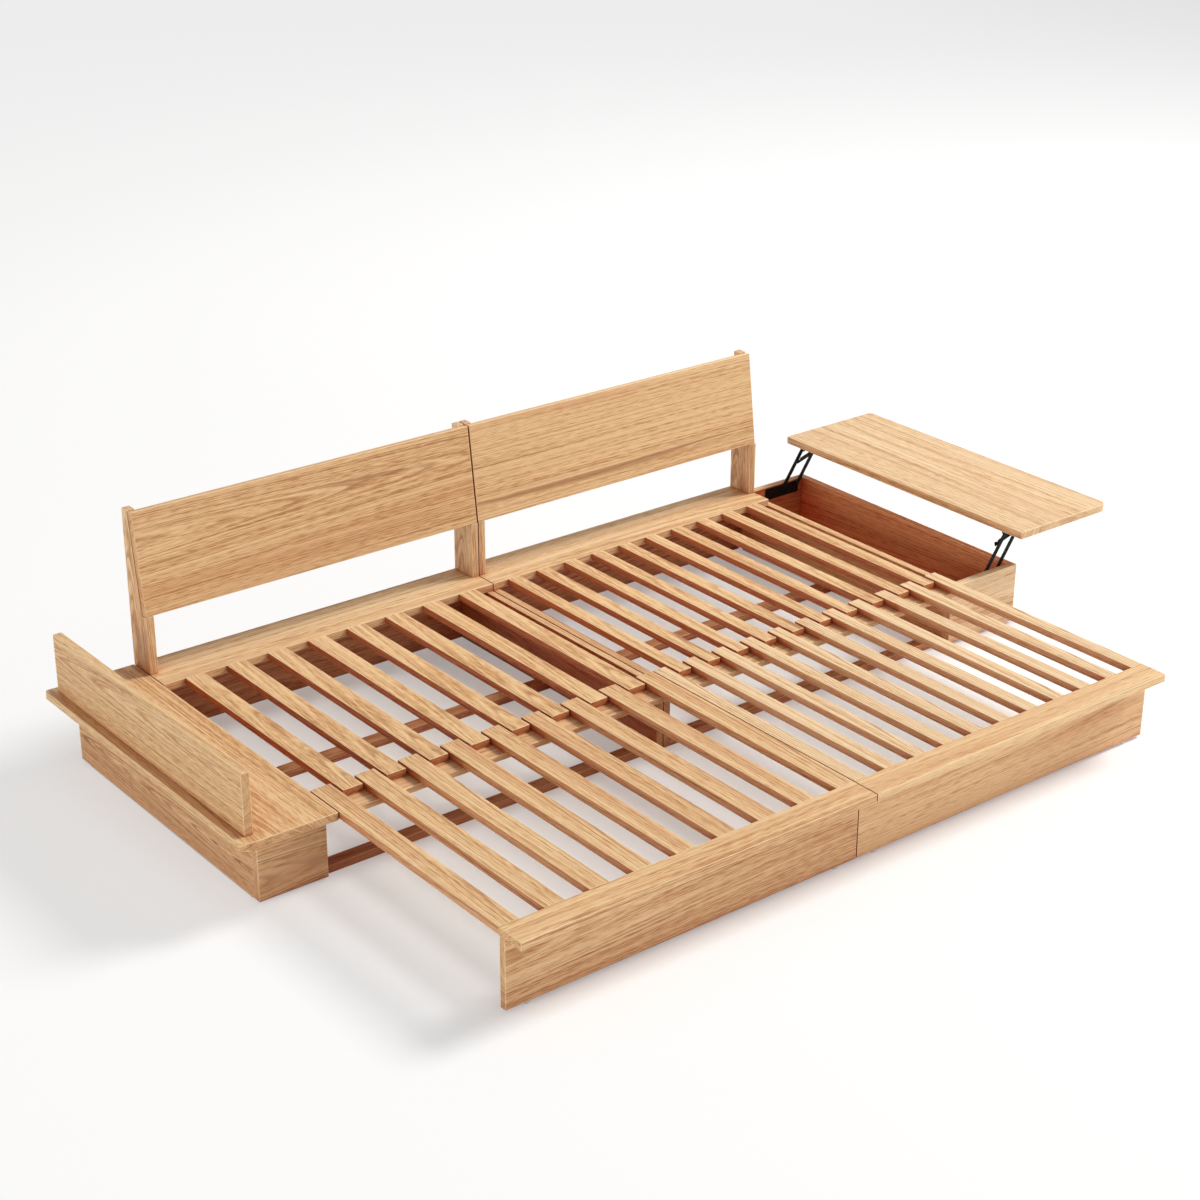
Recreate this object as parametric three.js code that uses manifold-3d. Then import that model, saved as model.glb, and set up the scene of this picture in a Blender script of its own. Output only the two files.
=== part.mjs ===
// Sofa bed in light oak: a left end module with a low arm, two seat units whose slatted
// seats pull out to bed depth, and a storage box whose lid rises on a four-bar linkage.
// Millimetres. X runs along the sofa, Y from front to back, Z up. While it is built, X is 0
// at the left unit's left edge, Y is 0 at the front of the end boxes and Z is 0 at the floor.
// The pull-outs are drawn out and the lid raised.
import * as THREE from "three";
import { mergeVertices } from "three/addons/utils/BufferGeometryUtils.js";
import Module from "manifold-3d";

const wasm = await Module();
wasm.setup();

// Overall sizes
const unitWidth = 1000;
const deckTop = 200;
const deckBack = 892;
const boardThickness = 21;
const groundGap = 7;
const frontOverhang = 56;

// Clearances
const seam = 0.25;
const sideGap = 1.5;
const endGap = 1;
const slideGap = 0.5;
const frameGap = 3;

// Left end module
const sideBoardWidth = 245;
const sideBoardFrontRadius = 28;
const sideBoardBackRadius = 8;
const leftBoxWidth = 181;
const leftBoxBackInset = 37;
const armThickness = 22;
const armHeight = 156;
const armInset = 24;
const armFrontInset = 32;
const armBackInset = 26;
const armCornerRadius = 6;

// Seat units
const travel = 675;
const backBoardDepth = 149;
const fixedSlatFront = 22;
const fixedSlatThickness = 18.5;
const slidingSlatThickness = 19;
const slatTongue = 12;
const rearInset = 4;
const stretcherDepth = 36;
const stretcherHeight = 21;
const middleStretcherFront = 464;
const railHeight = 30;
const runnerWidth = 20;
const runnerHeight = 20;
const leftSlatWidth = 53;
const leftSlidingSlats = 9;
const rightSlatWidth = 39;
const rightSlidingSlats = 11;

// Backrests
const postThickness = 22;
const postDepth = 84;
const backrestClearance = 156;
const backrestRise = 266;
const backrestSetback = 2;
const backrestThickness = 20;
const backrestRun = 36;
const backrestInset = 2;

// Pull-outs
const apronThickness = 18;
const battenThickness = 16;
const battenDepth = 70;
const slatOverrun = 28;
const dowelRadius = 4;
const dowelReach = 8;
const cleatReach = 27;
const cleatInset = 40;
const glideRadius = 8;
const glideInset = 60;

// Storage box
const storageBackInset = 17;
const storageFloorThickness = 9;
const storageFloorRise = 12;
const lidWidth = 350;
const lidFrontRadius = 22;
const lidBackRadius = 14;
const lidInnerRadius = 4;
const lidRest = 0.5;
const stripWidth = 15;
const stripEndInset = 40;

// Lift mechanisms, whose layers are counted inwards from the box wall
const armLength = 128;
const armSpacing = 52;
const openAngle = THREE.MathUtils.degToRad(55.5);
const pivotDrop = 12.25;
const earGap = 0.5;
const linkWidth = 12;
const linkThickness = 3;
const plateThickness = 2.5;
const layerGap = 0.5;
const pinRadius = 3;
const pinClearance = 0.3;
const basePlateLeft = 70;
const basePlateRight = 10;
const basePlateSideGap = 17.25;
const basePlateUp = 7;
const basePlateDown = 29;
const earRadius = 6;
const topFlangeDepth = 15;
const catchPinShare = 0.9;
const catchStudShare = 0.72;
const catchPinRadius = 2.5;
const catchTip = 9;
const catchRelief = 3;

// Round work
const roundSteps = 20;
const cornerSteps = 6;
const weldDistance = 0.001;

// Finishes, each mesh with a material of its own
const oak = () => new THREE.MeshStandardMaterial({ color: 0xdcb98c, roughness: 0.55, metalness: 0 });
const paleOak = () => new THREE.MeshStandardMaterial({ color: 0xe6c79c, roughness: 0.6, metalness: 0 });
const blackSteel = () => new THREE.MeshStandardMaterial({ color: 0x16181a, roughness: 0.5, metalness: 0.6 });
const greyFelt = () => new THREE.MeshStandardMaterial({ color: 0xb9b4ac, roughness: 0.95, metalness: 0 });

// Levels and planes that several pieces share
const boardBottom = deckTop - boardThickness;
const carcassTop = boardBottom - seam;
const slidingSlatBottom = deckTop - slidingSlatThickness;
const battenBottom = slidingSlatBottom - battenThickness;
const railTop = battenBottom - slideGap;
const frameFront = apronThickness + frameGap;
const backBoardFront = deckBack - backBoardDepth;
const postFront = deckBack - postDepth;
const backrestFront = postFront + backrestSetback;
const backrestFoot = deckTop + backrestClearance;
const backrestTop = backrestFoot + backrestRise;
const leftBoxDepth = deckBack - leftBoxBackInset;
const storageDepth = deckBack - storageBackInset;
const armFront = armFrontInset - frontOverhang;
const armBack = deckBack - armBackInset;
const rearApronBack = deckBack - rearInset;
const rearApronFront = rearApronBack - boardThickness;
const unitsRight = unitWidth + unitWidth;
const slidingRear = backBoardFront - endGap - travel;
const frontBoardFront = -frontOverhang - travel;
const frontBoardBack = fixedSlatFront - endGap - travel;
const pulloutApronFront = -travel;
const storageInnerFace = unitsRight + seam + boardThickness;
const closedTopA = storageInnerFace + earRadius + earGap;
const basePlateEnd = closedTopA + armLength + armSpacing + basePlateRight;
const storageRight = basePlateEnd + basePlateSideGap + boardThickness;
const lidClosedLeft = unitsRight + sideGap;
const lidClosedBottom = carcassTop + lidRest;
const lidRise = armLength * Math.sin(openAngle);
const lidShift = armLength * (1 + Math.cos(openAngle));
const lidLeft = lidClosedLeft + lidShift;
const lidBottom = lidClosedBottom + lidRise;

// A mesh of a geometry with its name and finish
function named(name, geometry, finish) {
  const mesh = new THREE.Mesh(geometry, finish());
  mesh.name = name;
  return mesh;
}

// A square-edged board between two planes along each axis
function board(name, x, y, z, finish) {
  const geometry = new THREE.BoxGeometry(x[1] - x[0], y[1] - y[0], z[1] - z[0]);
  const mesh = named(name, geometry, finish);
  mesh.position.set((x[0] + x[1]) / 2, (y[0] + y[1]) / 2, (z[0] + z[1]) / 2);
  return mesh;
}

// The same board as a bare geometry, for joining
function boardGeometry(x, y, z) {
  const geometry = new THREE.BoxGeometry(x[1] - x[0], y[1] - y[0], z[1] - z[0]);
  return geometry.translate((x[0] + x[1]) / 2, (y[0] + y[1]) / 2, (z[0] + z[1]) / 2);
}

// A rectangle with its own radius at each corner, from the low corner counter-clockwise
function roundedOutline(x, y, radii) {
  const shape = new THREE.Shape();
  const quarter = Math.PI / 2;
  shape.absarc(x[0] + radii[0], y[0] + radii[0], radii[0], 2 * quarter, 3 * quarter, false);
  shape.absarc(x[1] - radii[1], y[0] + radii[1], radii[1], 3 * quarter, 4 * quarter, false);
  shape.absarc(x[1] - radii[2], y[1] - radii[2], radii[2], 0, quarter, false);
  shape.absarc(x[0] + radii[3], y[1] - radii[3], radii[3], quarter, 2 * quarter, false);
  shape.closePath();
  return shape;
}

// A straight extrusion of a flat outline, without bevels
function extruded(shape, depth) {
  return new THREE.ExtrudeGeometry(shape, { depth, bevelEnabled: false, curveSegments: cornerSteps });
}

// An outline drawn in Y and Z, extruded along X from a given place
function extrudedAlongX(shape, from, depth) {
  const axes = new THREE.Matrix4().makeBasis(
    new THREE.Vector3(0, 1, 0),
    new THREE.Vector3(0, 0, 1),
    new THREE.Vector3(1, 0, 0),
  );
  return extruded(shape, depth).applyMatrix4(axes).translate(from, 0, 0);
}

// A geometry as a closed solid that can be joined or cut
function solidOf(geometry) {
  const bare = geometry.clone();
  bare.deleteAttribute("normal");
  bare.deleteAttribute("uv");
  const merged = mergeVertices(bare, weldDistance);
  const vertProperties = merged.getAttribute("position").array;
  const triVerts = new Uint32Array(merged.index.array);
  return new wasm.Manifold(new wasm.Mesh({ numProp: 3, vertProperties, triVerts }));
}

// Several overlapping geometries joined into one
function joined(geometries) {
  const solid = geometries.map(solidOf).reduce((whole, piece) => whole.add(piece));
  const mesh = solid.getMesh();
  const geometry = new THREE.BufferGeometry();
  geometry.setAttribute("position", new THREE.BufferAttribute(mesh.vertProperties, 3));
  geometry.setIndex(new THREE.BufferAttribute(mesh.triVerts, 1));
  geometry.computeVertexNormals();
  return geometry;
}

// Left end module: side board, arm and the box below
function leftEndModule() {
  const module = new THREE.Group();
  const right = -seam;
  const boxLeft = -leftBoxWidth;
  const innerLeft = right - boardThickness;
  const frontBack = boardThickness;
  const backFront = leftBoxDepth - boardThickness;
  const boardRadii = [sideBoardFrontRadius, seam, seam, sideBoardBackRadius];
  const outline = roundedOutline([-sideBoardWidth, right], [-frontOverhang, deckBack], boardRadii);
  const sideBoard = named("left_side_board", extruded(outline, boardThickness), oak);
  sideBoard.position.z = boardBottom;
  const armLeft = armInset - sideBoardWidth;
  const armBottom = deckTop + seam;
  const armRadii = [seam, seam, armCornerRadius, armCornerRadius];
  const armOutline = roundedOutline([armFront, armBack], [armBottom, deckTop + armHeight], armRadii);
  const armGeometry = extrudedAlongX(armOutline, armLeft, armThickness);
  module.add(
    sideBoard,
    named("left_arm_panel", armGeometry, oak),
    board("left_box_front", [boxLeft, right], [0, frontBack - seam], [groundGap, carcassTop], oak),
    board(
      "left_box_outer_side",
      [boxLeft, boxLeft + boardThickness],
      [frontBack, leftBoxDepth],
      [groundGap, carcassTop],
      oak,
    ),
    board(
      "left_box_inner_side",
      [innerLeft, right],
      [frontBack, rearApronBack],
      [0, carcassTop],
      oak,
    ),
    board(
      "left_box_back",
      [boxLeft + boardThickness + seam, innerLeft - seam],
      [backFront, leftBoxDepth],
      [groundGap, carcassTop],
      oak,
    ),
    stripGlide("left_box_glide", boxLeft + boardThickness / 2, leftBoxDepth),
  );
  return module;
}

// A glide strip under the outer side of an end box
function stripGlide(name, middle, boxDepth) {
  const x = [middle - stripWidth / 2, middle + stripWidth / 2];
  return board(name, x, [stripEndInset, boxDepth - stripEndInset], [0, groundGap - seam], greyFelt);
}

// Left edges of evenly spread slats: sliding ones fill the width, fixed ones their gaps
function slatEdges(left, slatWidth, slidingSlats) {
  const first = left + sideGap;
  const last = left + unitWidth - sideGap - slatWidth;
  const pitch = (last - first) / (slidingSlats - 1);
  const sliding = Array.from({ length: slidingSlats }, (_, i) => first + i * pitch);
  return { sliding, fixed: sliding.slice(0, -1).map((edge) => edge + pitch / 2) };
}

// Side view of a backrest post: square foot, a shoulder for the panel, a leaning upper edge
function postOutline() {
  const lean = Math.atan2(backrestRun, backrestRise);
  const across = new THREE.Vector2(Math.cos(lean), -Math.sin(lean));
  const along = new THREE.Vector2(Math.sin(lean), Math.cos(lean));
  const foot = new THREE.Vector2(backrestFront, backrestFoot);
  const place = (a, b) => foot.clone().addScaledVector(across, a).addScaledVector(along, b);
  const back = backrestThickness + seam;
  const shoulderRun = (postFront - backrestFront + seam * along.x) / across.x;
  const upperRun = (backrestRise - back * across.y) / along.y;
  return new THREE.Shape([
    new THREE.Vector2(deckBack, deckTop + seam),
    new THREE.Vector2(deckBack, backrestTop),
    place(back, upperRun),
    place(back, -seam),
    place(shoulderRun, -seam),
    new THREE.Vector2(postFront, deckTop + seam),
  ]);
}

// Backrest panel between two planes, leaning back about its lower front edge
function backrestPanel(name, x) {
  const lean = Math.atan2(backrestRun, backrestRise);
  const height = Math.hypot(backrestRun, backrestRise);
  const turned = new THREE.Group();
  turned.position.set((x[0] + x[1]) / 2, backrestFront, backrestFoot);
  turned.rotation.x = -lean;
  const geometry = new THREE.BoxGeometry(x[1] - x[0], backrestThickness, height);
  const panel = named(name, geometry, oak);
  panel.position.set(0, backrestThickness / 2, height / 2);
  turned.add(panel);
  return turned;
}

// One seat unit that stays: back board with fixed slats, frame, runners and backrest
function seatUnit(side, left, slatWidth, slidingSlats) {
  const unit = new THREE.Group();
  const isLeft = side === "left";
  const x = [left + seam, left + unitWidth - seam];
  const seamPanel = isLeft ? [x[1] - boardThickness, x[1]] : [x[0], x[0] + boardThickness];
  const inside = isLeft ? [left, seamPanel[0]] : [seamPanel[1], left + unitWidth];
  const clear = [inside[0] + seam, inside[1] - seam];
  const fixedY = [fixedSlatFront, backBoardFront + slatTongue];
  const fixedZ = [deckTop - fixedSlatThickness, deckTop];
  const fixedSlats = slatEdges(left, slatWidth, slidingSlats).fixed.map((edge) =>
    boardGeometry([edge, edge + slatWidth], fixedY, fixedZ),
  );
  const backBoard = boardGeometry(x, [backBoardFront, deckBack], [boardBottom, deckTop]);
  const runnerY = [frameFront + boardThickness + seam, rearApronFront - seam];
  const runnerZ = [railTop - runnerHeight, railTop];
  const leftRunner = [clear[0], clear[0] + runnerWidth];
  const rightRunner = [clear[1] - runnerWidth, clear[1]];
  const leftPost = [left + seam, postThickness];
  const rightPost = [left + unitWidth - seam - postThickness, postThickness];
  const outer = isLeft ? { post: leftPost, runner: leftRunner } : { post: rightPost, runner: rightRunner };
  const inner = isLeft ? { post: rightPost, runner: rightRunner } : { post: leftPost, runner: leftRunner };
  const front = [frameFront, frameFront + boardThickness];
  const frontStretcher = [frameFront, frameFront + stretcherDepth];
  const middleStretcher = [middleStretcherFront, middleStretcherFront + stretcherDepth];
  unit.add(
    named(side + "_back_board_with_fixed_slats", joined([backBoard, ...fixedSlats]), oak),
    board(side + "_rear_apron", x, [rearApronFront, rearApronBack], [0, carcassTop], oak),
    board(side + "_seam_side_panel", seamPanel, [frameFront, rearApronFront - seam], [0, carcassTop], oak),
    board(side + "_front_rail", clear, front, [railTop - railHeight, railTop], oak),
    board(side + "_front_stretcher", clear, frontStretcher, [0, stretcherHeight], oak),
    board(side + "_middle_stretcher", clear, middleStretcher, [0, stretcherHeight], oak),
    board(side + "_outer_runner", outer.runner, runnerY, runnerZ, oak),
    board(side + "_inner_runner", inner.runner, runnerY, runnerZ, oak),
    named(side + "_outer_post", extrudedAlongX(postOutline(), ...outer.post), oak),
    named(side + "_inner_post", extrudedAlongX(postOutline(), ...inner.post), oak),
    backrestPanel(side + "_backrest_panel", [x[0] + backrestInset, x[1] - backrestInset]),
  );
  return unit;
}

// Side view of the cleat behind a pull-out's apron, stepped under the slat ends
function cleatOutline() {
  const front = pulloutApronFront + apronThickness + seam;
  const back = front + cleatReach;
  const step = frontBoardBack + seam;
  return new THREE.Shape([
    new THREE.Vector2(front, battenBottom),
    new THREE.Vector2(back, battenBottom),
    new THREE.Vector2(back, slidingSlatBottom - seam),
    new THREE.Vector2(step, slidingSlatBottom - seam),
    new THREE.Vector2(step, boardBottom - seam),
    new THREE.Vector2(front, boardBottom - seam),
  ]);
}

// One pull-out: slats on their rear batten, front board, apron, cleat and glides
function pullout(side, left, slatWidth, slidingSlats) {
  const slide = new THREE.Group();
  const isLeft = side === "left";
  const x = [left + sideGap, left + unitWidth - sideGap];
  const panel = boardThickness + seam;
  const batten = isLeft
    ? [left + sideGap, left + unitWidth - panel - sideGap]
    : [left + panel + sideGap, left + unitWidth - sideGap];
  const battenRear = slidingRear - slatOverrun;
  const battenY = [battenRear - battenDepth, battenRear];
  const battenMiddle = battenRear - battenDepth / 2;
  const slatY = [frontBoardBack + seam, slidingRear];
  const slatZ = [slidingSlatBottom, deckTop];
  const pieces = [boardGeometry(batten, battenY, [battenBottom, slidingSlatBottom])];
  for (const edge of slatEdges(left, slatWidth, slidingSlats).sliding) {
    const covered = [Math.max(edge, batten[0]), Math.min(edge + slatWidth, batten[1])];
    const dowel = new THREE.CylinderGeometry(dowelRadius, dowelRadius, dowelReach + dowelReach, roundSteps);
    dowel.rotateX(Math.PI / 2);
    dowel.translate((covered[0] + covered[1]) / 2, battenMiddle, slidingSlatBottom);
    pieces.push(boardGeometry([edge, edge + slatWidth], slatY, slatZ), dowel);
  }
  const apronY = [pulloutApronFront, pulloutApronFront + apronThickness];
  const apronMiddle = pulloutApronFront + apronThickness / 2;
  const cleatX = [x[0] + cleatInset, x[1] - x[0] - cleatInset - cleatInset];
  const ends = [x[0] + glideInset, x[1] - glideInset];
  const [outerEnd, innerEnd] = isLeft ? ends : [ends[1], ends[0]];
  slide.add(
    named(side + "_pullout_slats_with_batten", joined(pieces), paleOak),
    board(side + "_pullout_front_board", x, [frontBoardFront, frontBoardBack], [boardBottom, deckTop], oak),
    board(side + "_pullout_apron", x, apronY, [groundGap, boardBottom - seam], oak),
    named(side + "_pullout_cleat", extrudedAlongX(cleatOutline(), ...cleatX), oak),
    apronGlide(side + "_pullout_outer_glide", outerEnd, apronMiddle),
    apronGlide(side + "_pullout_inner_glide", innerEnd, apronMiddle),
  );
  return slide;
}

// A round glide under a pull-out's apron
function apronGlide(name, x, y) {
  const height = groundGap - seam;
  const glide = named(
    name,
    new THREE.CylinderGeometry(glideRadius, glideRadius, height, roundSteps),
    greyFelt,
  );
  glide.rotation.x = Math.PI / 2;
  glide.position.set(x, y, height / 2);
  return glide;
}

// Storage box without its lid and mechanisms
function storageBox() {
  const box = new THREE.Group();
  const left = unitsRight + seam;
  const right = storageRight;
  const z = [groundGap, carcassTop];
  const innerSide = [left, storageInnerFace];
  const outerSide = [right - boardThickness, right];
  const sideY = [boardThickness, storageDepth - boardThickness];
  const floorX = [innerSide[1] + seam, outerSide[0] - seam];
  const floorBottom = groundGap + storageFloorRise;
  const floorZ = [floorBottom, floorBottom + storageFloorThickness];
  box.add(
    board("storage_front", [left, right], [0, sideY[0] - seam], z, oak),
    board("storage_back", [left, right], [sideY[1] + seam, storageDepth], z, oak),
    board("storage_inner_side", innerSide, sideY, [0, carcassTop], oak),
    board("storage_outer_side", outerSide, sideY, z, oak),
    board("storage_floor", floorX, sideY, floorZ, oak),
    stripGlide("storage_glide", right - boardThickness / 2, storageDepth),
  );
  return box;
}

// Storage lid, raised
function storageLid() {
  const x = [lidLeft, lidLeft + lidWidth];
  const radii = [lidInnerRadius, lidFrontRadius, lidBackRadius, lidInnerRadius];
  const outline = roundedOutline(x, [-frontOverhang, deckBack], radii);
  const lid = named("storage_lid", extruded(outline, boardThickness), oak);
  lid.position.z = lidBottom;
  return lid;
}

// A flat bar with round ends from the origin along +X, with a hole at each given distance
function barOutline(length, holes) {
  const half = linkWidth / 2;
  const shape = new THREE.Shape();
  const quarter = Math.PI / 2;
  shape.absarc(length, 0, half, -quarter, quarter, false);
  shape.absarc(0, 0, half, quarter, 3 * quarter, false);
  shape.closePath();
  for (const [at, radius] of holes) {
    const hole = new THREE.Path();
    hole.absarc(at, 0, radius, 0, 4 * quarter, true);
    shape.holes.push(hole);
  }
  return shape;
}

// The catch: a bar with a pivot hole and, near its tip, a notch open on its upper side
function catchOutline(length) {
  const half = linkWidth / 2;
  const notch = catchPinRadius + pinClearance;
  const quarter = Math.PI / 2;
  const shape = new THREE.Shape();
  shape.absarc(0, 0, half, quarter, 3 * quarter, false);
  shape.lineTo(length - notch - catchRelief, -half);
  shape.lineTo(length - notch, 0);
  shape.absarc(length, 0, notch, 2 * quarter, 0, true);
  shape.lineTo(length + notch, -half);
  shape.lineTo(length + catchTip, -half);
  shape.lineTo(length + catchTip, half);
  shape.closePath();
  const hole = new THREE.Path();
  hole.absarc(0, 0, catchPinRadius + pinClearance, 0, 4 * quarter, true);
  shape.holes.push(hole);
  return shape;
}

// Lift mechanism at one end of the storage box. Its inward direction is +1 at the front, -1 at the rear.
function liftMechanism(end, wallFace, inward) {
  const mechanism = new THREE.Group();
  const pivotZ = lidClosedBottom - pivotDrop;
  const pivotA = new THREE.Vector2(closedTopA + armLength, pivotZ);
  const pivotB = pivotA.clone().add(new THREE.Vector2(armSpacing, 0));
  const swing = new THREE.Vector2(Math.cos(openAngle), Math.sin(openAngle));
  const topA = pivotA.clone().addScaledVector(swing, armLength);
  const topB = pivotB.clone().addScaledVector(swing, armLength);
  const layerA = plateThickness + layerGap;
  const layerB = layerA + linkThickness + layerGap;
  const layerEar = layerB + linkThickness + layerGap;
  const layerCatch = layerEar + plateThickness + layerGap;
  const catchFace = layerCatch + linkThickness;

  // An outline in X and Z, as a geometry between two layers
  function layered(shape, from, depth) {
    const geometry = extruded(shape, depth);
    geometry.rotateX(Math.PI / 2);
    const low = inward > 0 ? wallFace + from : wallFace - from - depth;
    return geometry.translate(0, low + depth, 0);
  }

  // A round pin at a place in X and Z, between two layers
  function pin(place, radius, from, to) {
    const geometry = new THREE.CylinderGeometry(radius, radius, to - from, roundSteps);
    return geometry.translate(place.x, wallFace + (inward * (from + to)) / 2, place.y);
  }

  // A link whose outline starts at a pivot and points along an angle above +X
  function link(name, outline, at, angle, layer, studs) {
    const geometry = layered(outline, layer, linkThickness);
    const whole = studs.length ? joined([geometry, ...studs]) : geometry;
    const mesh = named(name, whole, blackSteel);
    mesh.position.set(at.x, 0, at.y);
    mesh.rotation.y = -angle;
    return mesh;
  }

  const plateX = [pivotA.x - basePlateLeft, basePlateEnd];
  const plateZ = [pivotZ - basePlateDown, pivotZ + basePlateUp];
  const plateRadius = linkWidth / 2;
  const plateRadii = [plateRadius, plateRadius, plateRadius, plateRadius];
  const basePlate = layered(roundedOutline(plateX, plateZ, plateRadii), 0, plateThickness);
  const pinStart = plateThickness / 2;
  const base = joined([
    basePlate,
    pin(pivotA, pinRadius, pinStart, layerA + linkThickness),
    pin(pivotB, pinRadius, pinStart, layerB + linkThickness),
  ]);

  const hole = pinRadius + pinClearance;
  const holes = [
    [0, hole],
    [armLength, hole],
  ];
  const studAt = armLength * catchStudShare;
  const catchAt = armLength * catchPinShare;
  const studPlace = new THREE.Vector2(studAt, 0);
  const catchPlace = new THREE.Vector2(catchAt, 0);
  const studMiddle = linkThickness / 2;
  const stud = pin(studPlace, catchPinRadius, layerA + studMiddle, catchFace);
  const catchPin = pin(catchPlace, catchPinRadius, layerB + studMiddle, catchFace);

  const catchPivot = pivotB.clone().addScaledVector(swing, catchAt);
  const studPoint = pivotA.clone().addScaledVector(swing, studAt);
  const reach = studPoint.clone().sub(catchPivot);

  const flangeX = [topA.x - earRadius, topB.x + earRadius];
  const flangeTop = lidBottom - seam;
  const flangeGeometry = boardGeometry(
    flangeX,
    [
      Math.min(wallFace + inward * layerEar, wallFace + inward * (layerEar + topFlangeDepth)),
      Math.max(wallFace + inward * layerEar, wallFace + inward * (layerEar + topFlangeDepth)),
    ],
    [flangeTop - plateThickness, flangeTop],
  );
  const ears = [topA, topB].map((top) => {
    const earX = [top.x - earRadius, top.x + earRadius];
    const earZ = [top.y - earRadius, flangeTop - plateThickness / 2];
    const earRadii = [earRadius - seam, earRadius - seam, seam, seam];
    return layered(roundedOutline(earX, earZ, earRadii), layerEar, plateThickness);
  });
  const earMiddle = layerEar + plateThickness / 2;
  const top = joined([
    flangeGeometry,
    ...ears,
    pin(topA, pinRadius, layerA, earMiddle),
    pin(topB, pinRadius, layerB, earMiddle),
  ]);

  mechanism.add(
    named(end + "_lift_base_bracket", base, blackSteel),
    link(end + "_lift_arm_a", barOutline(armLength, holes), pivotA, openAngle, layerA, [stud]),
    link(end + "_lift_arm_b", barOutline(armLength, holes), pivotB, openAngle, layerB, [catchPin]),
    link(end + "_lift_catch", catchOutline(reach.length()), catchPivot, reach.angle(), layerCatch, []),
    named(end + "_lift_top_bracket", top, blackSteel),
  );
  return mechanism;
}

// The whole sofa bed, moved so that the origin lies under its middle
const sofaBed = new THREE.Group();
sofaBed.add(
  leftEndModule(),
  seatUnit("left", 0, leftSlatWidth, leftSlidingSlats),
  seatUnit("right", unitWidth, rightSlatWidth, rightSlidingSlats),
  pullout("left", 0, leftSlatWidth, leftSlidingSlats),
  pullout("right", unitWidth, rightSlatWidth, rightSlidingSlats),
  storageBox(),
  storageLid(),
  liftMechanism("front", boardThickness, 1),
  liftMechanism("rear", storageDepth - boardThickness, -1),
);
sofaBed.position.x = (sideBoardWidth - lidLeft - lidWidth) / 2;
sofaBed.position.y = -(frontBoardFront + deckBack) / 2;

export default sofaBed;
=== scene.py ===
import math
import random
import bmesh
import bpy
from mathutils import Matrix, Vector


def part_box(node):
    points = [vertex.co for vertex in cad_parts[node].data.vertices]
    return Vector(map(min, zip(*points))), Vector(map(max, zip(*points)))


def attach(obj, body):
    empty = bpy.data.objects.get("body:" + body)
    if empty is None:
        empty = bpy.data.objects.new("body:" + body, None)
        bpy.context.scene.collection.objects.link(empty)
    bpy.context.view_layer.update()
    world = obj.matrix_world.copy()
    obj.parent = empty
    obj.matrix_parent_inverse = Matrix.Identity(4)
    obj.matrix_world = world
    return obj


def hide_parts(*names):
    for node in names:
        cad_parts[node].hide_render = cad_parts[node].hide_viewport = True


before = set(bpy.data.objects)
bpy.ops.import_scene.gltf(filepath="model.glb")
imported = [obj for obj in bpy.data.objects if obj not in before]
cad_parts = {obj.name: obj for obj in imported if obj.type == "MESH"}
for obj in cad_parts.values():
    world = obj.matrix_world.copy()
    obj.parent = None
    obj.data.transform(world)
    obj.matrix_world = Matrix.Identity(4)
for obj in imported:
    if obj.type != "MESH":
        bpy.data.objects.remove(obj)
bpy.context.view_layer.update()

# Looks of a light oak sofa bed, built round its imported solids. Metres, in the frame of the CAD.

scene = bpy.context.scene
mm = 0.001
sides = ("left", "right")
print("frame loaded")


# Camera at the photograph's angle

cameraSet = {
    "azimuth": 38.38,
    "pitch": 24.38,
    "roll": 0.26,
    "lens": 70.17,
    "sensor": 36.0,
    "place": (-3.50925, -4.0385, 2.767),
    "nearest": 0.1,
    "farthest": 200.0,
}


def makeCamera(values):
    turn, dip, roll = (math.radians(values[key]) for key in ("azimuth", "pitch", "roll"))
    ahead = Vector((math.sin(turn) * math.cos(dip), math.cos(turn) * math.cos(dip), -math.sin(dip)))
    right = Vector((math.cos(turn), -math.sin(turn), 0))
    up = right.cross(ahead)
    across = right * math.cos(roll) + up * math.sin(roll)
    upward = up * math.cos(roll) - right * math.sin(roll)
    data = bpy.data.cameras.new("camera")
    data.lens = values["lens"]
    data.sensor_width = values["sensor"]
    data.clip_start = values["nearest"]
    data.clip_end = values["farthest"]
    camera = bpy.data.objects.new("camera", data)
    axes = Matrix((across, upward, -ahead)).transposed().to_4x4()
    camera.matrix_world = Matrix.Translation(values["place"]) @ axes
    scene.collection.objects.link(camera)
    scene.camera = camera


makeCamera(cameraSet)
scene.view_settings.view_transform = "Standard"
print("camera placed")


# Helpers for node trees and materials

def setInputs(tree, node, values):
    # Links what another node gives, and sets any other value
    for key, value in values.items():
        if isinstance(value, bpy.types.NodeSocket):
            tree.links.new(value, node.inputs[key])
        else:
            node.inputs[key].default_value = value


def addNode(tree, kind, inputs=None, **settings):
    node = tree.nodes.new(kind)
    for key, value in settings.items():
        setattr(node, key, value)
    setInputs(tree, node, inputs or {})
    return node


def mathNode(tree, operation, *values, clamp=False):
    node = addNode(tree, "ShaderNodeMath", dict(enumerate(values)), operation=operation, use_clamp=clamp)
    return node.outputs[0]


def vectorNode(tree, operation, *values, output=0):
    node = addNode(tree, "ShaderNodeVectorMath", dict(enumerate(values)), operation=operation)
    return node.outputs[output]


def rampNode(tree, value, low, high, outLow=0.0, outHigh=1.0, smooth=False):
    node = addNode(
        tree,
        "ShaderNodeMapRange",
        {"Value": value, "From Min": low, "From Max": high, "To Min": outLow, "To Max": outHigh},
        interpolation_type="SMOOTHSTEP" if smooth else "LINEAR",
    )
    return node.outputs["Result"]


def mixColours(tree, amount, first, second, blend="MIX"):
    # A Mix node's colours go in at sockets 6 and 7 and come out at 2
    inputs = {0: amount, 6: first, 7: second}
    return addNode(tree, "ShaderNodeMix", inputs, data_type="RGBA", blend_type=blend).outputs[2]


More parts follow.
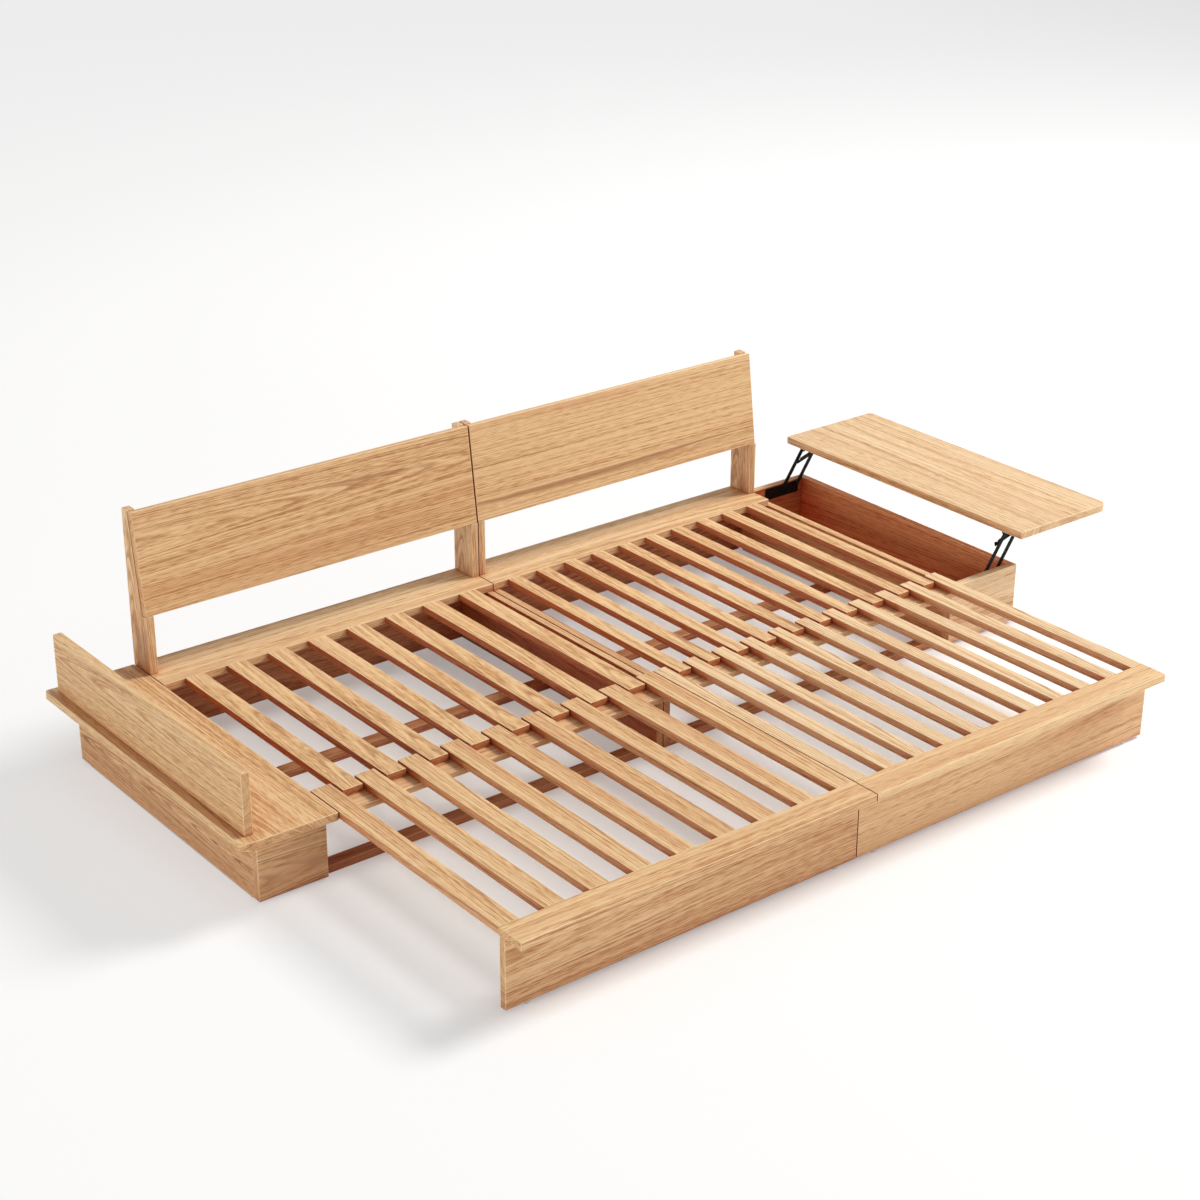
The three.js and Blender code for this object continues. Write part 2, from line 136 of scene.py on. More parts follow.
def bumpNode(tree, height, strength, depth):
    node = addNode(tree, "ShaderNodeBump", {"Strength": strength, "Distance": depth, "Height": height})
    return node.outputs[0]


def attributeNode(tree, name, output="Fac"):
    return addNode(tree, "ShaderNodeAttribute", attribute_name=name).outputs[output]


def linear(red, green, blue):
    # A colour as written for a screen, each part from 0 to 255
    def one(value):
        share = value / 255
        return share / 12.92 if share <= 0.04045 else ((share + 0.055) / 1.055) ** 2.4
    return (one(red), one(green), one(blue), 1.0)


def newGroup(name, kind, inputs, outputs):
    tree = bpy.data.node_groups.new(name, kind)
    for way, sockets in (("INPUT", inputs), ("OUTPUT", outputs)):
        for label, socket in sockets.items():
            tree.interface.new_socket(name=label, in_out=way, socket_type="NodeSocket" + socket)
    return tree, tree.nodes.new("NodeGroupInput").outputs, tree.nodes.new("NodeGroupOutput")


def newMaterial(name):
    material = bpy.data.materials.new(name)
    material.use_nodes = True
    tree = material.node_tree
    return material, tree, tree.nodes["Principled BSDF"]


# Oak. The grain coordinate of a board runs across it in X, through it in Y and along it in Z, in
# metres from the heart of the log it was sawn from, so growth rings, fibres and pores are solid.
# A size is a noise's width across the grain and its length along it. A ramp is the range of a
# value, then what its two ends become.

oakSet = {
    "pale": linear(236, 201, 152),
    "honey": linear(208, 158, 106),
    "dark": linear(156, 100, 58),
    "red": linear(190, 122, 76),
    # The next colour is a painted highlight on eased edges
    "edge": linear(246, 219, 176),
    "endGrain": (0.82, 0.64, 0.5, 1.0),
    # The next three colours are multiplied in as painted shade: in nooks, in the storage box's nooks and
    # along the lines where boards touch
    "nook": (0.64, 0.28, 0.18, 1.0),
    "boxNook": (0.95, 0.31, 0.2, 1.0),
    "contact": (0.8, 0.5, 0.34, 1.0),
    "wanderSize": (0.13, 1.7),
    "wanderRough": 0.45,
    "wanderReach": 0.04,
    "waverSize": (0.035, 0.4),
    "waverRough": 0.5,
    "waverReach": 0.002,
    "ringWidth": 0.0035,
    "ringUneven": 1.8,
    "unevenScale": 0.4,
    "ringRise": (0.0, 0.1),
    "ringFall": (0.16, 0.52, 1.0, 0.0),
    "ringStrength": (0.0, 1.0, 0.15, 1.25),
    "sheetShare": 0.12,
    "bandSize": (0.03, 2.6),
    "bandRamp": (0.32, 0.68, -0.16, 0.16),
    "streakSize": (0.0095, 1.8),
    "streakRamp": (0.3, 0.7, -0.18, 0.18),
    "lineSize": (0.0026, 1.1),
    "lineRamp": (0.32, 0.68, -0.5, 0.5),
    "poreSize": (0.0016, 0.035),
    "poreRamp": (0.3, 0.7, -0.58, 0.58),
    "toneShare": 0.5,
    "toneMiddle": 0.6,
    "darkRamp": (-0.55, 0.3, 0.8, 0.0),
    "warmSize": (0.06, 1.3),
    "warmRamp": (0.52, 0.8, 0.0, 0.4),
    "veinSize": (0.006, 2.2),
    "veinRamp": (0.66, 0.74, 0.0, 0.6),
    # How strongly the painted edge highlight shows
    "edgeShare": 0.55,
    # The painted shade: its share on marked faces, then the reaches and ramps by which ambient occlusion
    # becomes painted shade in nooks and painted contact shadow
    "innerShade": 0.5,
    "nookReach": 0.2,
    "nookRamp": (0.15, 0.72, 1.0, 0.0),
    "contactReach": 0.03,
    "contactRamp": (0.3, 0.8, 0.8, 0.0),
    "shelterSamples": 4,
    "roughRamp": (-0.6, 0.6, 0.68, 0.45),
    "specular": 0.45,
    "bump": 0.3,
    "bumpDepth": 0.0005,
}


def stretchedNoise(tree, vector, size, rough=0.5, output="Fac"):
    across, along = size
    scaled = addNode(
        tree, "ShaderNodeMapping", {"Vector": vector, "Scale": (1 / across, 1 / across, 1 / along)}
    )
    noise = addNode(
        tree,
        "ShaderNodeTexNoise",
        {"Vector": scaled.outputs[0], "Scale": 1.0, "Detail": 1.0, "Roughness": rough},
    )
    return noise.outputs[output]


def makeOakGroup():
    inputs = {"Grain": "Vector", "Nook Colour": "Color", "Pale": "Color", "Honey": "Color"}
    for label in ("Tone", "Figure", "End Grain", "Edge", "Nook", "Contact"):
        inputs[label] = "Float"
    outputs = {"Color": "Color", "Roughness": "Float", "Height": "Float"}
    tree, given, result = newGroup("oakFigure", "ShaderNodeTree", inputs, outputs)

    # The log's rings wander a little along and across it
    moved = given["Grain"]
    for layer in ("wander", "waver"):
        noise = stretchedNoise(tree, given["Grain"], oakSet[layer + "Size"], oakSet[layer + "Rough"], "Color")
        centred = vectorNode(tree, "SUBTRACT", noise, (0.5, 0.5, 0.5))
        reach = oakSet[layer + "Reach"]
        moved = vectorNode(tree, "ADD", moved, vectorNode(tree, "MULTIPLY", centred, (reach, reach, 0.0)))
    flat = vectorNode(tree, "MULTIPLY", moved, (1.0, 1.0, 0.0))
    radius = vectorNode(tree, "LENGTH", flat, output="Value")
    turns = mathNode(tree, "DIVIDE", radius, oakSet["ringWidth"])
    uneven = addNode(
        tree,
        "ShaderNodeTexNoise",
        {"W": turns, "Scale": oakSet["unevenScale"], "Detail": 1.0},
        noise_dimensions="1D",
    )
    uneven = mathNode(tree, "MULTIPLY", uneven.outputs["Fac"], oakSet["ringUneven"])
    turns = mathNode(tree, "ADD", turns, uneven)
    phase = mathNode(tree, "FRACT", turns)
    rise = rampNode(tree, phase, *oakSet["ringRise"], smooth=True)
    fall = rampNode(tree, phase, *oakSet["ringFall"], smooth=True)
    year = addNode(
        tree, "ShaderNodeTexWhiteNoise", {"W": mathNode(tree, "FLOOR", turns)}, noise_dimensions="1D"
    )
    strength = rampNode(tree, year.outputs["Value"], *oakSet["ringStrength"])
    ring = mathNode(tree, "MULTIPLY", mathNode(tree, "MULTIPLY", rise, fall), strength)
    ring = mathNode(tree, "MULTIPLY", ring, given["Figure"])

    # Bands, streaks and fine lines lie in sheets along the rings, and short pores run with the fibres
    parts = addNode(tree, "ShaderNodeSeparateXYZ", {"Vector": moved}).outputs
    around = mathNode(tree, "MULTIPLY", parts["X"], oakSet["sheetShare"])
    sheet = addNode(tree, "ShaderNodeCombineXYZ", {"X": radius, "Y": around, "Z": parts["Z"]}).outputs[0]
    shade = 0.0
    for layer, vector in (("band", sheet), ("streak", sheet), ("line", sheet), ("pore", given["Grain"])):
        noise = stretchedNoise(tree, vector, oakSet[layer + "Size"])
        shade = mathNode(tree, "ADD", shade, rampNode(tree, noise, *oakSet[layer + "Ramp"]))
    base = mathNode(tree, "MULTIPLY_ADD", given["Tone"], oakSet["toneShare"], oakSet["toneMiddle"])
    base = mathNode(tree, "ADD", base, shade)
    colour = mixColours(tree, base, given["Honey"], given["Pale"])
    colour = mixColours(tree, rampNode(tree, base, *oakSet["darkRamp"]), colour, oakSet["dark"])
    warm = stretchedNoise(tree, moved, oakSet["warmSize"])
    colour = mixColours(tree, rampNode(tree, warm, *oakSet["warmRamp"], smooth=True), colour, oakSet["red"])
    colour = mixColours(tree, ring, colour, oakSet["dark"])

    # Long dark veins, few and thin
    vein = stretchedNoise(tree, sheet, oakSet["veinSize"])
    colour = mixColours(tree, rampNode(tree, vein, *oakSet["veinRamp"], smooth=True), colour, oakSet["dark"])

    # End grain, a painted highlight on eased edges, painted shade in nooks and a painted contact shadow along
    # the lines where boards touch
    colour = mixColours(tree, given["End Grain"], colour, oakSet["endGrain"], "MULTIPLY")
    eased = mathNode(tree, "MULTIPLY", given["Edge"], oakSet["edgeShare"])
    colour = mixColours(tree, eased, colour, oakSet["edge"])
    colour = mixColours(tree, given["Nook"], colour, given["Nook Colour"], "MULTIPLY")
    colour = mixColours(tree, given["Contact"], colour, oakSet["contact"], "MULTIPLY")
    rough = rampNode(tree, shade, *oakSet["roughRamp"])
    setInputs(tree, result, {"Color": colour, "Roughness": rough, "Height": shade})
    return tree


def shelterNode(tree, reach):
    # Ambient occlusion within the reach, from which the oak's painted shade is drawn
    samples = oakSet["shelterSamples"]
    return addNode(tree, "ShaderNodeAmbientOcclusion", {"Distance": reach}, samples=samples).outputs["AO"]


def makeOak(name, pale=oakSet["pale"], honey=oakSet["honey"], nookColour=oakSet["nook"]):
    material, tree, shader = newMaterial(name)
    # Painted shade: the marked faces, the nooks that ambient occlusion finds and the lines where boards touch
    # are darkened and reddened
    inner = mathNode(tree, "MULTIPLY", attributeNode(tree, "innerFace"), oakSet["innerShade"])
    nook = rampNode(tree, shelterNode(tree, oakSet["nookReach"]), *oakSet["nookRamp"])
    contact = rampNode(tree, shelterNode(tree, oakSet["contactReach"]), *oakSet["contactRamp"])
    figure = addNode(
        tree,
        "ShaderNodeGroup",
        {
            "Grain": attributeNode(tree, "grainCoord", "Vector"),
            "Tone": attributeNode(tree, "boardTone"),
            "Figure": attributeNode(tree, "boardFigure"),
            "End Grain": attributeNode(tree, "endGrain"),
            "Edge": attributeNode(tree, "easedEdge"),
            "Nook": mathNode(tree, "ADD", nook, inner, clamp=True),
            "Contact": contact,
            "Nook Colour": nookColour,
            "Pale": pale,
            "Honey": honey,
        },
        node_tree=oakGroup,
    )
    looks = {
        "Base Color": figure.outputs["Color"],
        "Roughness": figure.outputs["Roughness"],
        "Specular IOR Level": oakSet["specular"],
        "Normal": bumpNode(tree, figure.outputs["Height"], oakSet["bump"], oakSet["bumpDepth"]),
    }
    setInputs(tree, shader, looks)
    return material


oakGroup = makeOakGroup()
oak = makeOak("oak")
paleOak = makeOak("paleOak", pale=linear(236, 206, 164), honey=linear(212, 168, 120))
# A copy of the oak with a redder painted shade, for inside the storage box
boxOak = makeOak("boxOak", nookColour=oakSet["boxNook"])


# Black steel of the lift mechanisms, and the felt under the boxes

steelSet = {
    "base": linear(7, 7, 8),
    # The next colour lightens the eased edges as a painted highlight, and cloudy patches as wear
    "worn": linear(42, 43, 45),
    "specular": 0.16,
    "cloudScale": 60.0,
    "patchRamp": (0.45, 0.7, 0.0, 0.15),
    "edgeWear": 0.5,
    "roughRamp": (0.3, 0.7, 0.45, 0.58),
    "speckScale": 900.0,
    "bump": 0.15,
    "bumpDepth": 0.0001,
}
feltSet = {
    "base": linear(196, 192, 186),
    "light": linear(232, 228, 222),
    "scale": 700.0,
    "lightRamp": (0.3, 0.7),
    "rough": 0.95,
    "bump": 0.4,
    "bumpDepth": 0.0004,
}


def objectNoise(tree, scale, detail):
    place = addNode(tree, "ShaderNodeTexCoord").outputs["Object"]
    noise = addNode(tree, "ShaderNodeTexNoise", {"Vector": place, "Scale": scale, "Detail": detail})
    return noise.outputs["Fac"]


def makeSteel(values):
    material, tree, shader = newMaterial("blackSteel")
    cloud = objectNoise(tree, values["cloudScale"], 3.0)
    speck = objectNoise(tree, values["speckScale"], 2.0)
    # Painted highlight along the eased edges, added to the patches of wear
    worn = mathNode(tree, "MULTIPLY", attributeNode(tree, "easedEdge"), values["edgeWear"])
    sheenAndWear = mathNode(tree, "ADD", worn, rampNode(tree, cloud, *values["patchRamp"]), clamp=True)
    looks = {
        "Base Color": mixColours(tree, sheenAndWear, values["base"], values["worn"]),
        "Roughness": rampNode(tree, cloud, *values["roughRamp"]),
        "Specular IOR Level": values["specular"],
        "Normal": bumpNode(tree, speck, values["bump"], values["bumpDepth"]),
    }
    setInputs(tree, shader, looks)
    return material


def makeFelt(values):
    material, tree, shader = newMaterial("greyFelt")
    noise = objectNoise(tree, values["scale"], 3.0)
    amount = rampNode(tree, noise, *values["lightRamp"])
    looks = {
        "Base Color": mixColours(tree, amount, values["base"], values["light"]),
        "Roughness": values["rough"],
        "Normal": bumpNode(tree, noise, values["bump"], values["bumpDepth"]),
    }
    setInputs(tree, shader, looks)
    return material


blackSteel = makeSteel(steelSet)
felt = makeFelt(feltSet)
print("materials made")


# Boards. Each one is an outline drawn across an axis and pushed along it, with eased edges.

easing = {
    "edge": 1.5 * mm,
    "segments": 3,
    "fineEdge": 0.8 * mm,
    "fineSegments": 2,
    "thinShare": 0.25,  # of the thinnest side, the most that an edge takes
    "sharpest": 35.0,
    "relief": 1.2 * mm,  # how far boards stand back at the seams between the units
    "arcSteps": 10,
}


def ringMesh(name, rings):
    # A closed solid through rings of places, with a cap on the first and on the last
    work = bmesh.new()
    rings = [[work.verts.new(place) for place in ring] for ring in rings]
    work.faces.new(reversed(rings[0]))
    work.faces.new(rings[-1])
    for lower, upper in zip(rings, rings[1:]):
        for i in range(len(lower)):
            j = (i + 1) % len(lower)
            work.faces.new((lower[i], lower[j], upper[j], upper[i]))
    bmesh.ops.recalc_face_normals(work, faces=work.faces)
    mesh = bpy.data.meshes.new(name)
    work.to_mesh(mesh)
    work.free()
    return mesh


def outlineMesh(name, points, axis, low, high):
    # The points are in X and Y for a board pushed along Z, and in Y and Z for one pushed along X
    rings = []
    for level in (low, high):
        rings.append([(level, *point) if axis == "X" else (*point, level) for point in points])
    return ringMesh(name, rings)


def rectangle(x, y):
    return [(x[0], y[0]), (x[1], y[0]), (x[1], y[1]), (x[0], y[1])]


def roundedRectangle(x, y, radii):
    # The radii run anticlockwise from the low corner, and nought leaves a corner square
    points = []
    for corner, radius in enumerate(radii):
        centreX = x[0] + radius if corner in (0, 3) else x[1] - radius
        centreY = y[0] + radius if corner in (0, 1) else y[1] - radius
        steps = easing["arcSteps"] if radius else 0
        for i in range(steps + 1):
            angle = math.radians(180 + 90 * (corner + i / max(steps, 1)))
            points.append((centreX + radius * math.cos(angle), centreY + radius * math.sin(angle)))
    return points


def circle(centre, radius, count):
    angles = [2 * math.pi * i / count for i in range(count)]
    return [(centre.x + radius * math.cos(angle), centre.y + radius * math.sin(angle)) for angle in angles]


def addAttribute(mesh, name, domain, values, kind="FLOAT"):
    layer = mesh.attributes.new(name, kind, domain)
    layer.data.foreach_set("vector" if kind == "FLOAT_VECTOR" else "value", values)


def easedMesh(mesh, finish, edge, segments):
    # Bevels the sharp edges with a modifier and marks the faces that it adds
    holder = bpy.data.objects.new("holder", mesh)
    scene.collection.objects.link(holder)
    mesh.materials.append(finish)
    mesh.materials.append(None)
    bevel = holder.modifiers.new("ease", "BEVEL")
    bevel.width = edge
    bevel.segments = segments
    bevel.limit_method = "ANGLE"
    bevel.angle_limit = math.radians(easing["sharpest"])
    bevel.material = 1
    bevel.use_clamp_overlap = True
    graph = bpy.context.evaluated_depsgraph_get()
    made = bpy.data.meshes.new_from_object(
        holder.evaluated_get(graph), preserve_all_data_layers=True, depsgraph=graph
    )
    bpy.data.objects.remove(holder)
    bpy.data.meshes.remove(mesh)
    marks = [1.0 if face.material_index == 1 else 0.0 for face in made.polygons]
    addAttribute(made, "easedEdge", "FACE", marks)
    made.polygons.foreach_set("material_index", [0] * len(made.polygons))
    made.materials.clear()
    made.materials.append(finish)
    return made


def easedBoard(name, points, axis, span, finish=oak, edge=easing["edge"], segments=easing["segments"]):
    return easedMesh(outlineMesh(name, points, axis, *span), finish, edge, segments)


def settle(name, mesh, body, nodes):
    piece = bpy.data.objects.new(name, mesh)
    mesh.name = name
    scene.collection.objects.link(piece)
    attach(piece, body)
    if nodes:
        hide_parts(*nodes)
    return piece


# The grain of a board: where it lay in its log, and how its wood looks

logSet = {
    "across": (-0.07, 0.07),
    "depth": (0.05, 0.13),
    "along": (0.0, 30.0),
    "leanAcross": (-0.02, 0.02),
    "leanDepth": (0.015, 0.035),
    "endFacing": 0.9,
    "sideFacing": 0.5,
}
boardLook = {
    "tone": 0.0,
    "figure": 0.55,  # strength of the rings
    "endShare": 1.0,  # how dark the end grain is
    "heart": None,  # the pith's place across and below the board, drawn from the seed if None
    "lean": None,  # how it leans across and below
    "inner": None,  # the way that faces with painted shade face, or "faces" for both broad sides, or "all"
    "share": 1.0,  # how deep that painted shade is
}
grainAxes = {  # along the grain, through the board
    "XZ": (Vector((1, 0, 0)), Vector((0, 0, 1))),
    "XY": (Vector((1, 0, 0)), Vector((0, 1, 0))),
    "YZ": (Vector((0, 1, 0)), Vector((0, 0, 1))),
    "YX": (Vector((0, 1, 0)), Vector((1, 0, 0))),
    "ZX": (Vector((0, 0, 1)), Vector((1, 0, 0))),
}


def grainPlace(seed, heart, lean):
    # Across, depth below the face, along, and the lean of the pith
    pick = random.Random(seed)
    across = pick.uniform(*logSet["across"])
    depth = pick.uniform(*logSet["depth"])
    along = pick.uniform(*logSet["along"])
    leanAcross = pick.uniform(*logSet["leanAcross"])
    leanDepth = pick.choice((-1, 1)) * pick.uniform(*logSet["leanDepth"])
    if heart:
        across, depth = heart
    if lean:
        leanAcross, leanDepth = lean
    return across, depth, along, leanAcross, leanDepth


def addGrain(mesh, axes, seed, **changes):
    look = {**boardLook, **changes}
    along, through = axes
    across = through.cross(along)
    corners = [vertex.co for vertex in mesh.vertices]
    centre = sum(corners, Vector()) / len(corners)
    acrossAt, depthAt, alongAt, leanAcross, leanDepth = grainPlace(seed, look["heart"], look["lean"])
    values = []
    for corner in corners:
        offset = corner - centre
        w = offset.dot(along)
        values += [
            offset.dot(across) + acrossAt + leanAcross * w,
            offset.dot(through) + depthAt + leanDepth * w,
            w + alongAt,
        ]
    normals = [face.normal for face in mesh.polygons]
    ends = [look["endShare"] if abs(n.dot(along)) > logSet["endFacing"] else 0.0 for n in normals]
    # Faces turned the given way, both broad sides, or all faces are marked for painted shade
    if look["inner"] == "all":
        shaded = [True] * len(normals)
    elif look["inner"] == "faces":
        shaded = [abs(n.dot(through)) > logSet["sideFacing"] for n in normals]
    elif look["inner"]:
        shaded = [n.dot(Vector(look["inner"])) > logSet["endFacing"] for n in normals]
    else:
        shaded = [False] * len(normals)
    addAttribute(mesh, "grainCoord", "POINT", values, "FLOAT_VECTOR")
    addAttribute(mesh, "boardTone", "POINT", [look["tone"]] * len(corners))
    addAttribute(mesh, "boardFigure", "POINT", [look["figure"]] * len(corners))
    addAttribute(mesh, "endGrain", "FACE", ends)
    addAttribute(mesh, "innerFace", "FACE", [look["share"] if inside else 0.0 for inside in shaded])


def oakPiece(name, mesh, body, nodes, axes, slot="oak", **look):
    addGrain(mesh, axes, name, **look)
    return settle(name, mesh, body, nodes)


def camelName(node):
    first, *rest = node.split("_")
    return first + "".join(word.capitalize() for word in rest)


def nodeBoard(node, grain, finish=oak, body="frame", name=None, relief=(0, 0), **look):
    # A plain board that stands where its CAD node is, drawn back a little at the seams in X
    name = name or camelName(node)
    low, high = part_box(node)
    points = rectangle((low.x + relief[0], high.x - relief[1]), (low.y, high.y))
    width = min(easing["fineEdge" if finish is felt else "edge"], min(high - low) * easing["thinShare"])
    mesh = easedBoard(name, points, "Z", (low.z, high.z), finish, width)
    slot = "grey_felt" if finish is felt else "oak"
    return oakPiece(name, mesh, body, [node], grainAxes[grain], slot, **look)


# Left end module

leftEnd = {
    "frontRadius": 28 * mm,
    "backRadius": 8 * mm,
    "armRadius": 6 * mm,
    "sideBoard": {
        "tone": -0.25, "figure": 0.4, "endShare": 0.35, "heart": (0.02, 0.09), "lean": (0.01, 0.02),
    },
    "armPanel": {"tone": -0.3, "figure": 0.5, "endShare": 0.3, "heart": (0.01, 0.05), "lean": (0.02, 0.03)},
    "boxFront": {"tone": -0.05, "figure": 0.7, "endShare": 0.3},
    "boxOuterSide": {"tone": -0.15, "figure": 0.9, "heart": (0.02, 0.045), "lean": (0.0, 0.03)},
}

low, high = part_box("left_side_board")
radii = (leftEnd["frontRadius"], 0, 0, leftEnd["backRadius"])
points = roundedRectangle((low.x, high.x - easing["relief"]), (low.y, high.y), radii)
mesh = easedBoard("sideBoard", points, "Z", (low.z, high.z))
oakPiece("sideBoard", mesh, "frame", ["left_side_board"], grainAxes["YZ"], **leftEnd["sideBoard"])

low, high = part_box("left_arm_panel")
radii = (0, 0, leftEnd["armRadius"], leftEnd["armRadius"])
points = roundedRectangle((low.y, high.y), (low.z, high.z), radii)
mesh = easedBoard("armPanel", points, "X", (low.x, high.x))
oakPiece("armPanel", mesh, "frame", ["left_arm_panel"], grainAxes["YX"], **leftEnd["armPanel"])

nodeBoard("left_box_front", "XY", **leftEnd["boxFront"])
nodeBoard("left_box_outer_side", "YX", **leftEnd["boxOuterSide"])
nodeBoard("left_box_inner_side", "YX")
nodeBoard("left_box_back", "XY")
nodeBoard("left_box_glide", "YZ", felt)
print("left end module made")


# Rows of slats, spread by Geometry Nodes from one eased blank

slatSet = {
    "left": {"width": 53 * mm, "count": 9, "seed": 3},
    "right": {"width": 39 * mm, "count": 11, "seed": 8},
    "fixedThickness": 18.5 * mm,
    "slidingThickness": 19 * mm,
    "edge": 1.4 * mm,
    "slidingSeed": 20,  # added to a side's seed
    "spread": (0.004, 0.002, 0.9),
    "toneSpread": 0.06,
    # the slats' faces that look this way get painted shade
    "shaded": (-1, 0, 0),
}


def storeNode(tree, geometry, name, value, kind, domain):
    node = addNode(tree, "GeometryNodeStoreNamedAttribute", {"Name": name}, data_type=kind, domain=domain)
    setInputs(tree, node, {"Geometry": geometry, "Value": value})
    return node.outputs["Geometry"]


def makeSlatTree():
    inputs = {"Blank": "Object", "Count": "Int", "Pitch": "Float", "Seed": "Int", "Finish": "Material"}
    inputs.update({"Grain Spread": "Vector", "Tone Spread": "Float"})
    tree, given, result = newGroup("slatRow", "GeometryNodeTree", inputs, {"Geometry": "Geometry"})
    tree.is_modifier = True
    step = addNode(tree, "ShaderNodeCombineXYZ", {"X": given["Pitch"]}).outputs[0]
    line = addNode(tree, "GeometryNodeMeshLine", {"Count": given["Count"], "Offset": step}, mode="OFFSET")
    blank = addNode(tree, "GeometryNodeObjectInfo", {"Object": given["Blank"]})
    rows = {"Points": line.outputs["Mesh"], "Instance": blank.outputs["Geometry"]}
    geometry = addNode(tree, "GeometryNodeInstanceOnPoints", rows).outputs["Instances"]

    # Each slat's grain and tone are shifted by what is drawn once for it. The numbers are the first
    # of the Random Value node's sockets for that kind of value, and the result's.
    shifts = (
        ("grainCoord", "Grain Spread", "FLOAT_VECTOR", vectorNode, (-1.0, -1.0, -1.0), 0, 0),
        ("boardTone", "Tone Spread", "FLOAT", mathNode, -1.0, 2, 1),
    )
    for name, spreadName, kind, sumNode, minus, least, drawn in shifts:
        spread = given[spreadName]
        limits = {least: sumNode(tree, "MULTIPLY", spread, minus), least + 1: spread, "Seed": given["Seed"]}
        draw = addNode(tree, "FunctionNodeRandomValue", limits, data_type=kind).outputs[drawn]
        geometry = storeNode(tree, geometry, name + "Shift", draw, kind, "INSTANCE")
    geometry = addNode(tree, "GeometryNodeRealizeInstances", {"Geometry": geometry}).outputs["Geometry"]
    for name, spreadName, kind, sumNode, minus, least, drawn in shifts:
        own, shift = (
            addNode(tree, "GeometryNodeInputNamedAttribute", {"Name": label}, data_type=kind).outputs[0]
            for label in (name, name + "Shift")
        )
        geometry = storeNode(tree, geometry, name, sumNode(tree, "ADD", own, shift), kind, "POINT")
    finish = addNode(tree, "GeometryNodeSetMaterial", {"Geometry": geometry, "Material": given["Finish"]})
    setInputs(tree, result, {"Geometry": finish.outputs["Geometry"]})
    return tree


def runTree(tree, name, values):
    # Evaluates a tree on an empty mesh and returns the plain mesh that it makes
    holder = bpy.data.objects.new(name + "Holder", bpy.data.meshes.new(name + "Empty"))
    scene.collection.objects.link(holder)
    modifier = holder.modifiers.new("rows", "NODES")
    modifier.node_group = tree
    for item in tree.interface.items_tree:
        if item.item_type == "SOCKET" and item.in_out == "INPUT" and item.name in values:
            modifier[item.identifier] = values[item.name]
    graph = bpy.context.evaluated_depsgraph_get()
    made = bpy.data.meshes.new_from_object(
        holder.evaluated_get(graph), preserve_all_data_layers=True, depsgraph=graph
    )
    holder.modifiers.clear()
    bpy.data.objects.remove(holder)
    return made


slatTree = makeSlatTree()


def slatRow(name, span, top, thickness, row, finish, body, slot, node, **look):
    # Span is the first slat's X and Y ranges, and row the count, the pitch and the seed
    count, pitch, seed = row
    mesh = easedBoard(name, rectangle(*span), "Z", (top - thickness, top), finish, slatSet["edge"])
    addGrain(mesh, grainAxes["YZ"], name, inner=slatSet["shaded"], **look)
    blank = bpy.data.objects.new(name + "Blank", mesh)
    scene.collection.objects.link(blank)
    inputs = {"Blank": blank, "Count": count, "Pitch": pitch, "Seed": seed, "Finish": finish}
    inputs.update({"Grain Spread": slatSet["spread"], "Tone Spread": slatSet["toneSpread"]})
    made = runTree(slatTree, name, inputs)
    bpy.data.objects.remove(blank)
    return settle(name, made, body, [node])


# Seat units and their pull-outs

unitSet = {
    "boardDepth": 149 * mm,
    "battenDepth": 70 * mm,
    "battenThickness": 16 * mm,
    "battenGap": 0.05 * mm,
    "slatOverrun": 28 * mm,
    "seamPanel": 21.25 * mm,  # the seam panel and its gap, which the batten stops short of
    "seat": 0.25 * mm,
    "glideSides": 24,
}
unitLooks = {
    "backBoard": {
        "tone": 0.15, "figure": 0.4, "endShare": 0.4, "heart": (0.05, 0.09), "lean": (0.002, 0.004),
    },
    # In the slats' looks, share is how deep their painted shade is
    "fixedSlats": {
        "tone": -0.05, "figure": 0.38, "share": 2.0, "heart": (0.016, 0.05), "lean": (0.012, 0.018),
    },
    "slidingSlats": {
        "figure": 0.6, "endShare": 0.8, "share": 1.1, "heart": (0.03, 0.04), "lean": (0.002, 0.006),
    },
    "batten": {"tone": 0.2},
    "frontBoard": {"figure": 0.3, "endShare": 0.3, "heart": (0.05, 0.07), "lean": (0.002, 0.004)},
    "apron": {"figure": 0.35, "endShare": 0.25, "heart": (0.05, 0.05), "lean": (0.006, 0.012)},
}
# The right unit's boards are paler than the left's: partly their own tone, partly painted light that grows
# towards the right
sideLooks = {
    "left": {"slatFinish": oak, "slidingSlats": 0.0, "frontBoard": -0.1, "apron": -0.4},
    "right": {"slatFinish": paleOak, "slidingSlats": 0.8, "frontBoard": 0.45, "apron": 0.5},
}
underSlats = {  # each board with its grain and its look; these take darker tones and painted shade where the slats shade them
    "rear_apron": ("XY", {"tone": -0.35, "inner": (0, -1, 0)}),
    "seam_side_panel": ("YX", {"tone": -0.1, "inner": "faces", "share": 2.0}),
    "front_rail": ("XY", {"tone": -0.3, "inner": "all"}),
    "front_stretcher": ("XZ", {"tone": -0.45, "inner": "all"}),
    "middle_stretcher": ("XZ", {"tone": -0.45, "inner": "all"}),
    "outer_runner": ("YZ", {"tone": -0.3, "inner": "all"}),
    "inner_runner": ("YZ", {"tone": -0.3, "inner": "all"}),
}


def atSeam(side, inset):
    # A unit's insets at low and at high X, where only its seam with the other unit takes one
    return (0.0, inset) if side == "left" else (inset, 0.0)


